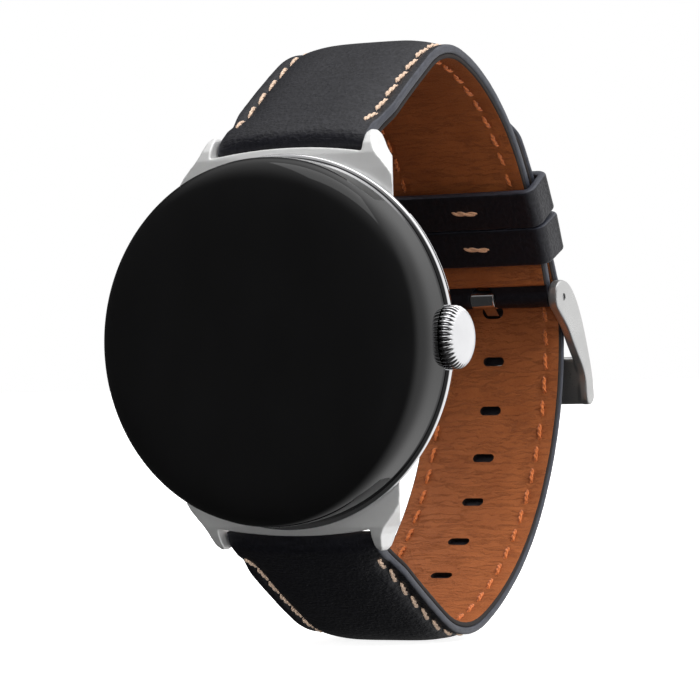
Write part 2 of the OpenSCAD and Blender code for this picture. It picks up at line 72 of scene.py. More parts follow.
LATCH_DEPTH, LATCH_Z, LATCH_R = 2.1, 19.0, 0.4
BUCKLE_BAR = (51.8, 5.1)
STRAP_T, TAIL_T, LINING_T = 1.6, 1.4, 0.55
PAD_H, PAD_LEN = 1.1, 36.0
STRAP_GAP = 1.75
FIRST_HOLE, HOLE_PITCH, HOLE_COUNT = 27.6, 6.3, 7
SEAM, LINING_SEAM, PITCH = 8.2, 7.0, 3.0       # stitch rows from the middle, stitch to stitch
NOSE, LINING_END = 1.7, 62.6    # how far the leather reaches past the lug bar, the lining's end
# openings: size across, size along, shift and, for the tang, (place, across, along)
LINING_HOLE = (2.8, 1.15, 0.0, (27.55, 2.8, 1.9))
OUTER_HOLE = (2.4, 0.22, 0.4, (28.7, 2.0, 1.7))
KEEPERS = {"fixed_keeper": (57.0, -0.95, 3.0, "watch"),
           "sliding_keeper": (51.8, -1.25, 2.65, "sliding_keeper")}
KEEPER_L, KEEPER_T, KEEPER_W = 4.8, 1.1, 18.5
BUCKLE_ARCS = [(180, -5.3), (11.7, -46.3), (29, -38), (49.6, -21.7)]
TIP_ARCS = [(180, -5.3), (11.7, -46.3), (29, -27.4)]
TAIL_ARCS = [(30.75, -10.7), (51.35, -9.6), (400, -1.5), (9.3, -24.4), (35.5, -74),
             (13.8, -47.2), (146, -6.7)]
BUCKLE_START = (4.4, 21.8, 36.7)


# ---------------------------------------------------------------- strap curves
def left(h):
    return np.array([-math.sin(math.radians(h)), math.cos(math.radians(h))])


def along(q, arc, s):
    """Place and heading (d, z, heading) after length s along one arc (radius, signed sweep)."""
    sign = 1 if arc[1] > 0 else -1
    g, r = q[2] + sign * math.degrees(s / arc[0]), arc[0] * sign
    p = np.array(q[:2]) + r * left(q[2]) - r * left(g)
    return (p[0], p[1], g)


def arc_len(arc):
    return arc[0] * abs(math.radians(arc[1]))


class Path:
    """A chain of tangent arcs that flat points (x, s, off) are bent along."""

    def __init__(self, start, arcs, step=0.1):
        rows, q, done = [], start, 0.0
        for arc in arcs:
            n = max(2, int(arc_len(arc) / step))
            for k in range(n):
                rows.append((done + arc_len(arc) * k / n,) + along(q, arc, arc_len(arc) * k / n))
            q, done = along(q, arc, arc_len(arc)), done + arc_len(arc)
        rows.append((done,) + tuple(q))
        self.table, self.length = np.array(rows), done

    def at(self, s):
        """Places (n, 2) and headings (n,) at lengths s, straight beyond the ends."""
        s = np.atleast_1d(np.asarray(s, float))
        t = self.table
        d, z, h = (np.interp(s, t[:, 0], t[:, i]) for i in (1, 2, 3))
        over = s - np.clip(s, 0, self.length)
        d = d + over * np.cos(np.radians(h))
        z = z + over * np.sin(np.radians(h))
        return np.stack([d, z], 1), h

    def bend(self, flat):
        """Flat points (x, s, off) to (x, d, z)."""
        flat = np.asarray(flat, float)
        p, h = self.at(flat[:, 1])
        out = np.stack([-np.sin(np.radians(h)), np.cos(np.radians(h))], 1)
        q = p + out * flat[:, 2:3]
        return np.column_stack([flat[:, 0], q])


buckle_path = Path(BUCKLE_START, BUCKLE_ARCS)
_tip = Path(BUCKLE_START, TIP_ARCS)
_end, _head = _tip.at(_tip.length)
tail_path = Path(tuple(_end[0] + STRAP_GAP * left(_head[0])) + (_head[0],), TAIL_ARCS)


def place(points):
    """(x, d, z) in mm to the row frame in metres."""
    return (np.asarray(points, float) - (0, CASE_DEPTH, 0)) * MM


# ---------------------------------------------------------------- materials
class Shader:
    """A Principled material built from nodes."""

    def __init__(self, name, flat=False):
        self.material = bpy.data.materials.new(name)
        self.material.use_nodes = True
        self.tree = self.material.node_tree
        self.bsdf = next(n for n in self.tree.nodes if n.type == "BSDF_PRINCIPLED")
        if flat:    # the strap's own coordinates: across, along and out, in mm
            a = self.tree.nodes.new("ShaderNodeAttribute")
            a.attribute_name = "flat"
            self.at = a.outputs["Vector"]
        else:       # the row frame's coordinates in mm
            t = self.tree.nodes.new("ShaderNodeTexCoord")
            self.at = self.node("VectorMath", args=[t.outputs["Object"], (1000, 1000, 1000)],
                                operation="MULTIPLY")

    def node(self, kind, args=(), out=0, **values):
        """A new node: args fill its inputs in order and values by name. Returns one output."""
        n = self.tree.nodes.new("ShaderNode" + kind)
        for k in ("operation", "feature", "use_clamp"):
            if k in values:
                setattr(n, k, values.pop(k))
        for i, v in enumerate(args):
            self.plug(n.inputs[i], v)
        for k, v in values.items():
            self.plug(n.inputs[k.title()], v)
        return n.outputs[out]

    def plug(self, socket, value):
        if isinstance(value, bpy.types.NodeSocket):
            self.tree.links.new(value, socket)
        else:
            socket.default_value = value

    def stretch(self, x, y, z, at=None):
        return self.node("VectorMath", args=[at or self.at, (x, y, z)], operation="MULTIPLY")

    def warp(self, scale, detail, amount):
        """Coordinates pushed about by noise."""
        push = self.node("TexNoise", out=1, vector=self.at, scale=scale, detail=detail)
        return self.node("VectorMath", args=[push, (amount,) * 3, self.at],
                         operation="MULTIPLY_ADD")

    def creases(self, value, width):
        """0 on thin lines, where a noise crosses its middle, and 1 away from them."""
        return self.ramp(self.math("ABSOLUTE", self.math("SUBTRACT", value, 0.5)), 0.0, width)

    def total(self, first, *rest):
        """Weighted sum of (value, weight) pairs."""
        out = self.math("MULTIPLY", *first)
        for pair in rest:
            out = self.math("ADD", out, self.math("MULTIPLY", *pair))
        return out

    def noise(self, scale, detail=3.0, roughness=0.55, at=None):
        return self.node("TexNoise", vector=at or self.at, scale=scale, detail=detail,
                         roughness=roughness)

    def cells(self, scale, at=None, feature="F1", smoothness=None):
        values = {"vector": at or self.at, "scale": scale, "feature": feature}
        if smoothness is not None:
            values["smoothness"] = smoothness
        return self.node("TexVoronoi", **values)

    def math(self, operation, *args, clamp=False):
        return self.node("Math", args=args, operation=operation, use_clamp=clamp)

    def ramp(self, value, low, high, to_low=0.0, to_high=1.0):
        return self.node("MapRange", args=[value, low, high, to_low, to_high])

    def mix(self, factor, a, b):
        n = self.tree.nodes.new("ShaderNodeMix")
        n.data_type = "RGBA"
        self.plug(n.inputs[0], factor)
        self.plug(n.inputs[6], a if isinstance(a, bpy.types.NodeSocket) else (*a, 1))
        self.plug(n.inputs[7], b if isinstance(b, bpy.types.NodeSocket) else (*b, 1))
        return n.outputs[2]

    def bump(self, height, distance, strength=1.0, normal=None):
        """Distance in mm."""
        values = {"height": height, "distance": distance * MM, "strength": strength}
        if normal is not None:
            values["normal"] = normal
        return self.node("Bump", **values)

    def set(self, **values):
        for k, v in values.items():
            if k == "base_color" and not isinstance(v, bpy.types.NodeSocket):
                v = (*v, 1)
            name = k.replace("_", " ").title().replace("Ior", "IOR")
            self.plug(self.bsdf.inputs[name], v)
        return self.material


def metal(name, colour, roughness, grain=1.0, bump=0.002, brushed=(1, 1, 1), spread=0.06,
          metallic=1.0):
    """Bare metal: fine blasted or brushed grain, faint smudges and uneven gloss."""
    s = Shader(name)
    fine = s.noise(14 * grain, 2.0, at=s.stretch(*brushed))
    smudge = s.noise(0.35, 3.0)
    tone = s.mix(s.ramp(smudge, 0.3, 0.7), colour, tuple(c * 0.93 for c in colour))
    rough = s.math("ADD", s.ramp(fine, 0.3, 0.7, roughness - spread, roughness + spread),
                   s.ramp(smudge, 0.35, 0.7, 0, spread))
    return s.set(base_color=tone, metallic=metallic, roughness=rough,
                 normal=s.bump(fine, bump))


def moulded(name, colour, roughness=0.45, grain=9.0, bump=0.004, **extra):
    """Moulded plastic, rubber or lacquer with a fine even texture."""
    s = Shader(name)
    fine = s.noise(grain, 3.0)
    broad = s.noise(0.5, 2.0)
    tone = s.mix(s.ramp(broad, 0.3, 0.7), colour, tuple(min(1, c * 1.25 + 0.002) for c in colour))
    return s.set(base_color=tone, roughness=s.ramp(fine, 0.3, 0.7, roughness - 0.06,
                 roughness + 0.06), normal=s.bump(fine, bump), **extra)


def glass():
    """Near-black display under polished glass, with faint smears in the gloss."""
    s = Shader("dark_glass")
    smear = s.noise(0.22, 4.0, at=s.stretch(1, 1, 0.55))
    tone = s.mix(s.ramp(smear, 0.35, 0.7), (0.0078, 0.0078, 0.0080), (0.0090, 0.0090, 0.0093))
    return s.set(base_color=tone, roughness=s.ramp(smear, 0.4, 0.75, 0.045, 0.085),
                 specular_ior_level=0.34, normal=s.bump(s.noise(0.5, 2.0), 0.0006))


def leather(name, flat=True):
    """Black smooth-grain leather: fine pebble, soft pull creases across the strap; its colour is
    painted darker in the pebble hollows and crease lines as painted shade and paler on the crests as
    painted sheen.
    """
    s = Shader(name, flat=flat)
    warp = s.warp(1.3, 2.0, 0.55)
    pebble = s.cells(2.2, at=warp, feature="SMOOTH_F1", smoothness=0.3)
    fine = s.noise(5.0, 3.0, at=warp)
    crease = s.creases(s.noise(0.75, 4.0, 0.6, at=s.stretch(0.22, 1.25, 1.0, warp)), 0.055)
    broad = s.noise(0.16, 3.0)
    height = s.total((pebble, 0.55), (fine, 0.35), (crease, 0.22))
    # painted shade and sheen: the colour follows the relief, darker in hollows and crease lines,
    # paler on crests
    painted_relief_shade = s.ramp(height, 0.45, 1.0)
    tone = s.mix(painted_relief_shade, (0.0050, 0.0050, 0.0078), (0.0140, 0.0140, 0.0200))
    tone = s.mix(s.ramp(broad, 0.35, 0.7, 0.0, 0.6), tone, (0.0070, 0.0071, 0.0110))
    rough = s.math("ADD", s.ramp(height, 0.4, 0.95, 0.52, 0.42), s.ramp(broad, 0.3, 0.7, 0, 0.06))
    return s.set(base_color=tone, roughness=rough, specular_ior_level=0.42,
                 normal=s.bump(height, 0.10, 0.9))


def edge_paint():
    """Satin edge lacquer on cut leather, slightly uneven."""
    s = Shader("edge_paint", flat=True)
    run = s.noise(1.6, 3.0, at=s.stretch(0.5, 0.6, 2.5))
    fine = s.noise(9.0, 2.0)
    tone = s.mix(s.ramp(run, 0.3, 0.7), (0.022, 0.024, 0.034), (0.050, 0.054, 0.072))
    height = s.total((run, 0.8), (fine, 0.25))
    return s.set(base_color=tone, roughness=s.ramp(fine, 0.3, 0.7, 0.38, 0.55),
                 normal=s.bump(height, 0.04, 0.7))


def lining():
    """Tan lining leather: fine pores, many short creases across the strap, with painted shade
    darkening their floors.
    """
    s = Shader("tan_lining", flat=True)
    warp = s.warp(0.9, 3.0, 0.9)
    line = s.creases(s.noise(0.62, 5.0, 0.62, at=s.stretch(0.24, 2.3, 1.0, warp)), 0.030)
    pores = s.cells(3.6, at=warp, feature="SMOOTH_F1", smoothness=0.3)
    fine = s.noise(6.0, 4.0, 0.65)
    blotch = s.noise(0.28, 4.0, 0.6)
    tone = s.mix(s.ramp(blotch, 0.3, 0.7), (0.400, 0.118, 0.034), (0.300, 0.083, 0.023))
    # painted shade: the colour darkens along the crease floors
    tone = s.mix(s.ramp(line, 0.0, 1.0, 0.36, 0.0), tone, (0.150, 0.036, 0.009))
    tone = s.mix(s.ramp(fine, 0.35, 0.65, 0.0, 0.20), tone, (0.57, 0.195, 0.055))
    height = s.total((line, 0.40), (pores, 0.40), (fine, 0.35))
    return s.set(base_color=tone, roughness=s.ramp(height, 0.3, 1.0, 0.62, 0.50),
                 specular_ior_level=0.30, normal=s.bump(height, 0.11, 0.95))


def thread(name, colour, dark):
    """Waxed stitching thread: fine fibres along each strand."""
    s = Shader(name, flat=True)
    fibre = s.noise(7.0, 3.0, at=s.stretch(2.2, 0.8, 2.2))
    tone = s.mix(s.ramp(fibre, 0.3, 0.7), dark, colour)
    return s.set(base_color=tone, roughness=s.ramp(fibre, 0.3, 0.7, 0.62, 0.78),
                 sheen_weight=0.25, normal=s.bump(fibre, 0.03, 0.7))


MAT = {
    "glass": glass(),
    "seal": moulded("seal_rubber", (0.012, 0.012, 0.012), 0.62, 12.0),
    "display": moulded("display_panel", (0.004, 0.004, 0.006), 0.2, 20.0, 0.001),
    "sheet": metal("sheet_metal", (0.42, 0.43, 0.45), 0.38, 1.0, 0.002, (0.2, 1, 1)),
    "polished": metal("polished_steel", (0.80, 0.80, 0.815), 0.10, 0.8, 0.0006, spread=0.03),
    "satin": metal("satin_steel", (0.84, 0.84, 0.835), 0.46, 1.4, 0.0060, (1, 1, 0.6),
                   metallic=0.55),
    "buckle": metal("buckle_steel", (0.56, 0.56, 0.555), 0.30, 1.4, 0.004, (1, 0.4, 0.4),
                    metallic=0.85),
    "bar": metal("bar_steel", (0.50, 0.50, 0.51), 0.28, 1.2, 0.003, (0.2, 1, 1)),
    "back": moulded("back_plastic", (0.030, 0.031, 0.034), 0.36, 10.0, 0.003),
    "window": moulded("sensor_glass", (0.006, 0.006, 0.008), 0.08, 3.0, 0.0006),
    "board": moulded("circuit_board", (0.012, 0.075, 0.035), 0.4, 4.0, 0.02),
    "copper": metal("copper_winding", (0.62, 0.28, 0.13), 0.34, 1.0, 0.03, (1, 0.2, 1)),
    "inner": moulded("inner_plastic", (0.045, 0.047, 0.052), 0.5),
    "screw": metal("screw_steel", (0.5, 0.5, 0.52), 0.25),
    "battery": metal("battery_foil", (0.32, 0.33, 0.36), 0.42, 0.6, 0.02),
    "chip": moulded("chip_plastic", (0.014, 0.014, 0.016), 0.5, 8.0, 0.01),
    "leather": leather("black_leather"),
    "edge": edge_paint(),
    "dark_cut": moulded("cut_leather", (0.012, 0.008, 0.007), 0.8, 8.0, 0.03),
    "lining": lining(),
    "felt": moulded("padding_felt", (0.55, 0.52, 0.44), 0.9, 5.0, 0.08),
    "cream": thread("cream_thread", (0.88, 0.66, 0.50), (0.58, 0.39, 0.27)),
    "orange": thread("orange_thread", (0.80, 0.235, 0.050), (0.42, 0.092, 0.018)),
    "copper_thread": thread("copper_thread", (0.95, 0.56, 0.34), (0.66, 0.32, 0.17)),
}

CAD_MATERIALS = {
    "display_seal": "seal", "display_panel": "display", "display_plate": "sheet",
    "back_seal": "seal", "sensor_board": "board", "charging_coil": "copper",
    "inner_bracket": "inner", "bracket_screws": "screw", "battery": "battery",
    "main_board": "board", "board_chips": "chip", "haptic_motor": "sheet", "speaker": "inner",
    "crown_tube": "screw", "crown_seal": "seal", "crown_encoder": "chip",
    "crown_switch": "copper", "crown_plunger": "inner", "crown_stem": "bar",
    "encoder_wheel": "inner", "button_seal": "seal", "button_switch": "copper",
    "upper_latch": "polished", "lower_latch": "polished", "upper_lug_bar": "bar",
    "lower_lug_bar": "bar", "buckle_bar": "bar",
}
for name, key in CAD_MATERIALS.items():
    nodes[name].data.materials.clear()
    nodes[name].data.materials.append(MAT[key])


# ---------------------------------------------------------------- mesh helpers
def make(name, points, faces, materials, body, replaces=(), index=None, flat=None,
         crease=40.0):
    """A smooth-shaded piece from row-frame points that rides on a body."""
    obj = temp_object(points, faces, name)
    mesh = obj.data
    if index is not None:
        mesh.polygons.foreach_set("material_index", np.asarray(index, np.int32))
    if flat is not None:
        a = mesh.attributes.new("flat", "FLOAT_VECTOR", "POINT")
        a.data.foreach_set("vector", np.asarray(flat, np.float32).ravel())
    for m in materials:
        mesh.materials.append(MAT[m])
    settle(obj, body, replaces, crease)
    return obj


def add_object(name, data):
    obj = bpy.data.objects.new(name, data)
    bpy.context.scene.collection.objects.link(obj)
    return obj


def face_outwards(mesh):
    bm = bmesh.new()
    bm.from_mesh(mesh)
    bmesh.ops.recalc_face_normals(bm, faces=bm.faces)
    bm.to_mesh(mesh)
    bm.free()


def shade(obj, crease):
    obj.data.polygons.foreach_set("use_smooth", [True] * len(obj.data.polygons))
    if crease:
        obj.data.set_sharp_from_angle(angle=math.radians(crease))


def settle(obj, body, replaces=(), crease=40.0):
    """Outward normals, smooth shading with sharp creases, and the piece's place in the frame."""
    face_outwards(obj.data)
    shade(obj, crease)
    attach(obj, body)
    if replaces:
        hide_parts(*replaces)


def loops_to_faces(loops, size, close=True, caps=True):
    """Quads between equal loops of points, with the two ends closed by one face each."""
    faces = []
    for i in range(loops - 1):
        for j in range(size if close else size - 1):
            a, b = i * size + j, i * size + (j + 1) % size
            faces.append((a, b, b + size, a + size))
    if caps:
        faces.append(tuple(range(size - 1, -1, -1)))
        faces.append(tuple(range((loops - 1) * size, loops * size)))
    return faces


def revolve(outline, segments=256):
    """Closed outline of (radius, depth) turned about the case axis: points and faces."""
    points, faces, n = [], [], len(outline)
    for r, d in outline:
        if r < 1e-9:
            points.append([(0.0, d, 0.0)])
        else:
            points.append([(r * math.cos(t), d, r * math.sin(t))
                           for t in np.linspace(0, 2 * math.pi, segments, endpoint=False)])
    start = np.cumsum([0] + [len(p) for p in points])
    for i in range(n):
        k = (i + 1) % n
        a, b = len(points[i]), len(points[k])
        if a == 1 and b == 1:
            continue
        for j in range(segments):
            m = (j + 1) % segments
            if a == 1:
                faces.append((start[i], start[k] + m, start[k] + j))
            elif b == 1:
                faces.append((start[i] + j, start[i] + m, start[k]))
            else:
                faces.append((start[i] + j, start[i] + m, start[k] + m, start[k] + j))
    return [p for ring in points for p in ring], faces


def smooth_outline(corners, radius=0.12, steps=5):
    """A closed outline with its corners rounded by short curves; a corner may give its own radius."""
    out, n = [], len(corners)
    for i, c in enumerate(corners):
        p = np.array(c[:2], float)
        r = c[2] if len(c) > 2 else radius
        a, b = np.array(corners[i - 1][:2], float), np.array(corners[(i + 1) % n][:2], float)
        la, lb = np.linalg.norm(a - p), np.linalg.norm(b - p)
        if r == 0 or p[0] < 1e-9:
            out.append(tuple(p))
            continue
        e = min(r, la * 0.48, lb * 0.48)
        s, t = p + (a - p) / la * e, p + (b - p) / lb * e
        for k in range(steps + 1):
            u = k / steps
            out.append(tuple((1 - u) ** 2 * s + 2 * u * (1 - u) * p + u * u * t))
    return out


def temp_object(points, faces, name="cutter"):
    mesh = bpy.data.meshes.new(name)
    mesh.from_pydata([tuple(p) for p in points], [], faces)
    face_outwards(mesh)
    return add_object(name, mesh)


def box(*spans):
    """A block from its (low, high) spans in x, d and z."""
    corners = [(x, d, z) for x in spans[0] for d in spans[1] for z in spans[2]]
    return temp_object(place(corners), [(0, 1, 3, 2), (4, 6, 7, 5), (0, 4, 5, 1), (2, 3, 7, 6),
                                        (0, 2, 6, 4), (1, 5, 7, 3)])


def apply_modifiers(obj):
    dg = bpy.context.evaluated_depsgraph_get()
    mesh = bpy.data.meshes.new_from_object(obj.evaluated_get(dg))
    obj.modifiers.clear()
    obj.data = mesh


def cut(obj, cutters, operation="DIFFERENCE"):
    for c in cutters:
        m = obj.modifiers.new("cut", "BOOLEAN")
        m.object, m.operation, m.solver = c, operation, "EXACT"
    apply_modifiers(obj)
    for c in cutters:
        bpy.data.objects.remove(c)


def rod(start, end, radius, segments=48):
    """A cylinder between two (x, d, z) points, in the row frame."""
    a, b = Vector(place(start)), Vector(place(end))
    turn = (b - a).to_track_quat("Z", "Y").to_matrix()
    points = []
    for c in (a, b):
        for t in np.linspace(0, 2 * math.pi, segments, endpoint=False):
            points.append(c + turn @ Vector((math.cos(t), math.sin(t), 0)) * radius * MM)
    return temp_object(points, loops_to_faces(2, segments))


def sector(r0, r1, d0, d1, a0, a1, steps=48):
    """A ring sector about the case axis, in the row frame."""
    loops = []
    for t in np.radians(np.linspace(a0, a1, steps)):
        loops += [(r * math.cos(t), d, r * math.sin(t))
                  for r, d in ((r0, d0), (r1, d0), (r1, d1), (r0, d1))]
    return temp_object(place(loops), loops_to_faces(steps, 4))


def melt(name, sources, voxel, rounds, material, body, replaces, crease=0.0):
    """One piece from overlapping closed solids: joined by a voxel remesh, and its edges softened."""
    bm = bmesh.new()
    for s in sources:
        bm.from_mesh(s.data)
    mesh = bpy.data.meshes.new(name)
    bm.to_mesh(mesh)
    bm.free()
    obj = add_object(name, mesh)
    m = obj.modifiers.new("remesh", "REMESH")
    m.mode, m.voxel_size, m.use_smooth_shade = "VOXEL", voxel * MM, True
    m = obj.modifiers.new("soften", "SMOOTH")
    m.factor, m.iterations = 0.5, rounds
    apply_modifiers(obj)
    obj.data.materials.clear()
    obj.data.materials.append(MAT[material])
    settle(obj, body, replaces, crease)
    return obj


# ---------------------------------------------------------------- case
def dome(a, b, power, steps):
    return [(a * max(0.0, math.cos(t)) ** (2 / power), b * math.sin(t) ** (2 / power))
            for t in np.linspace(0, math.pi / 2, steps + 1)]


def crown_scoop():
    return rod((CROWN_START - 0.35, CROWN_DEPTH, 0), (CROWN_START + 6, CROWN_DEPTH, 0),
               CROWN_R + 0.17, 96)


def cover_glass():
    outer = dome(GLASS_R, -DOME_H, GLASS_POWER, 110)
    outer = [(r, d) for r, d in outer if r > 0.02] + [(0.0, -DOME_H)]
    outline = [(CAVITY_R - 0.5, 0.0)] + [(GLASS_R, 0.0)] + outer[1:] \
        + [(0.0, GLASS_FLAT), (GLASS_R - 3, GLASS_FLAT), (CAVITY_R - 0.5, -1.6)]
    points, faces = revolve(outline, 288)
    obj = temp_object(place(points), faces, "glass_dome")
    obj.data.materials.append(MAT["glass"])
    cut(obj, [crown_scoop()])
    settle(obj, "watch", ["cover_glass"], 32)
    return obj


def case_shell():
    r = CASE_R
    outline = smooth_outline([
        (r - 0.45, FRONT_FACE, 0.05), (r - 0.1, 0.27, 0.14), (r, 0.6, 0.3), (r - 0.4, 1.5, 0.4),
        (r - 0.95, 2.6, 0.8), (r - 1.45, 3.8, 0.8), (r - 1.85, 4.9, 0.6), (r - 2.4, 5.7, 0.5),
        (r - 3, 6.3, 0.12), (CAVITY_R - 0.95, 6.3, 0.05), (CAVITY_R - 0.95, 5.9, 0),
        (CAVITY_R - 2, 5.9, 0), (CAVITY_R - 2, 5.2, 0), (CAVITY_R - 0.8, 5.2, 0),
        (CAVITY_R - 0.5, 4.6, 0), (CAVITY_R, 2.6, 0), (CAVITY_R, FRONT_FACE, 0)], steps=6)
    points, faces = revolve(outline, 288)
    obj = temp_object(place(points), faces, "case_shell")
    obj.data.materials.append(MAT["polished"])
    crown_boss = box((16.8, 18.8), (0.15, 3.05), (-2, 2))
    cut(obj, [crown_boss], "UNION")
    h = BUTTON_H / 2 + 0.08
    mid = math.radians((BUTTON_FROM + BUTTON_TO) / 2)
    cutters = [crown_scoop(), rod((10, CROWN_DEPTH, 0), (30, CROWN_DEPTH, 0), 0.9),
               sector(CASE_R - 1.8, CASE_R + 2, BUTTON_DEPTH - h, BUTTON_DEPTH + h,
                      BUTTON_FROM - 0.5, BUTTON_TO + 0.5),
               rod((10 * math.cos(mid), BUTTON_DEPTH, 10 * math.sin(mid)),
                   (30 * math.cos(mid), BUTTON_DEPTH, 30 * math.sin(mid)), 0.66)]
    for side in (1, -1):
        cutters += [sector(TONGUE_R - 0.1, CASE_R + 2, TONGUE_DEPTH - TONGUE_H / 2 - FIT_GAP,
                           TONGUE_DEPTH + TONGUE_H / 2 + FIT_GAP,
                           side * 90 - TONGUE_ANGLE - 2, side * 90 + TONGUE_ANGLE + 2),
                    rod((0, LATCH_DEPTH - 0.7, side * LATCH_Z), (0, 8, side * LATCH_Z),
                        LATCH_R + 0.05)]
    cut(obj, cutters)
    settle(obj, "watch", ["case_body"], 32)
    return obj


def back_parts():
    w, r = WINDOW_R + 0.04, CAVITY_R - 1
    outline = smooth_outline([(w, 6.05, 0), (r, 6.05, 0), (r, 6.4, 0.1), (r - 0.7, 6.75, 0.4),
                              (r - 2.2, 7.05, 0.8), (w + 1, 7.2, 0.5), (w, 7.22, 0.03)], steps=6)
    points, faces = revolve(outline)
    make("back_ring", place(points), faces, ["back"], "watch", ["back_cover"],
         crease=32)
    r = WINDOW_R
    outline = smooth_outline([(0, 6.1), (r, 6.1, 0), (r, 7.2, 0.03), (r - 0.6, 7.27, 0.3),
                              (r - 1.6, CASE_DEPTH, 0.5), (0, CASE_DEPTH)], steps=6)
    points, faces = revolve(outline)
    make("sensor_cover", place(points), faces, ["window"], "watch",
         ["sensor_window"], crease=32)


# ---------------------------------------------------------------- crown
def crown():
    """Knurled ring whose grooves run out over the shoulder of a full polished dome."""
    dome_part = [(r, CROWN_SHOULDER + x)
                 for r, x in dome(CROWN_R, CROWN_APEX - CROWN_SHOULDER, 2.2, 40)]
    profile = [(STEM_R - 0.05, CROWN_START)] + [(r, CROWN_START) for r in (1.5, 2.6)]
    profile += [(CROWN_R - 0.30 + 0.30 * math.sin(t), CROWN_START + 0.30 - 0.30 * math.cos(t))
                for t in np.linspace(0, math.pi / 2, 7)]
    profile += [(CROWN_R, x) for x in np.linspace(CROWN_START + 0.4, CROWN_SHOULDER, 9)]
    profile += [p for p in dome_part[1:] if p[0] > 0.05]
    segments = CROWN_GROOVES * 14
    loops = []
    for r, x in profile:
        fade_out = np.clip((CROWN_APEX - 0.42 - x) / 0.75, 0, 1)
        fade_in = np.clip((r - 2.5) / 0.6, 0, 1)
        depth = 0.30 * fade_out ** 0.8 * fade_in
        for k in range(segments):
            t = 2 * math.pi * k / segments
            wave = 0.5 - 0.5 * math.cos(t * CROWN_GROOVES)
            # broad rounded teeth with narrow grooves between them
            rr = r - depth * wave ** 2.2
            loops.append((x, CROWN_DEPTH + rr * math.cos(t), rr * math.sin(t)))
    points = place(loops)
    faces = loops_to_faces(len(profile), segments)
    make("crown_knob", points, faces, ["polished"], "crown",
         ["crown_ring", "crown_cap"], crease=60)


# ---------------------------------------------------------------- straps
def swell(s, end):
    """Padding height at distance s from the lug end."""
    t = np.clip(np.abs(s - end) / PAD_LEN, 0, 1)
    return PAD_H * (1 - t ** 3)


def crown_of(x, inward):
    """Share of the padding height across the strap: nothing past the seams, which start a little
    way from the lugs; there the leather is full to its edges."""
    reach = SEAM + 1.6 * float(np.clip((4.5 - inward) / 3.0, 0, 1))
    t = np.clip(np.abs(x) / reach, 0, 1)
    return (1 - t ** 3.6) ** 0.9


